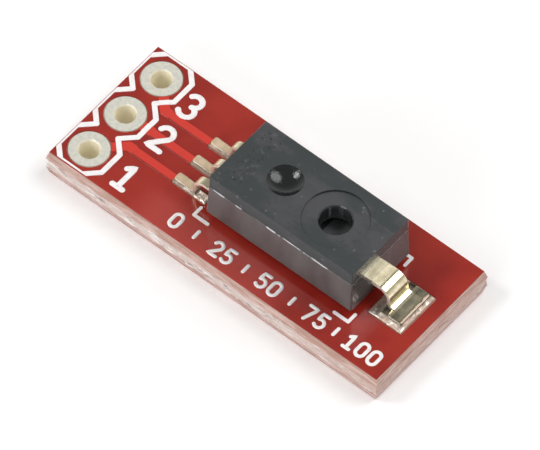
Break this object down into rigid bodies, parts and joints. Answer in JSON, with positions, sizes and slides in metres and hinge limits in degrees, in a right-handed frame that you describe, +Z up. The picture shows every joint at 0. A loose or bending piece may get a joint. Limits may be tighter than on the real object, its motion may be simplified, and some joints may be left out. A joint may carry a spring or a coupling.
{
  "type": "humidity sensor breakout board",
  "caption": "Small red breakout board with a row of plated header holes at one end and a dark surface-mounted humidity sensor with a round window in its cover.",
  "frame": {"origin": "middle of the board's underside", "axes": "+X along the board from the header holes to the wide lead, +Y across the board, +Z up out of the sensor's cover"},
  "size_m": [0.0194, 0.0078, 0.0047],
  "materials": {
    "laminate": "woven glass laminate, cut edges",
    "solder_mask": "red lacquer, glossy",
    "foil": "copper foil under the coating",
    "plating": "tinned lands and plated barrels",
    "ink": "white printed ink",
    "moulding": "dark moulded plastic, semi-matte",
    "seal": "bonding film",
    "lead_metal": "tin-plated sheet with a pale gold tint",
    "solder": "bright solder",
    "adhesive": "die adhesive",
    "silicon": "polished silicon",
    "sensing_polymer": "thin polymer film",
    "wire_metal": "fine gold wire"
  },
  "bodies": {
    "root": {"plated_hole_supply": "plating", "plated_hole_output": "plating", "plated_hole_ground": "plating", "copper_track_supply": "foil", "copper_track_output": "foil", "copper_track_ground": "foil", "copper_pad_wide": "foil", "solder_mask_top": "solder_mask", "solder_mask_bottom": "solder_mask", "printed_board_core": "laminate", "printed_header_outline": "ink", "printed_corner_marks": "ink", "sensor_base": "moulding", "cover_seal": "seal", "sensor_cover": "moulding", "lead_supply": "lead_metal", "lead_output": "lead_metal", "lead_ground": "lead_metal", "lead_wide": "lead_metal", "solder_supply": "solder", "solder_output": "solder", "solder_ground": "solder", "solder_wide": "solder", "die_adhesive": "adhesive", "sensing_die": "silicon", "sensing_film": "sensing_polymer", "bond_wires": "wire_metal"}
  },
  "joints": []
}
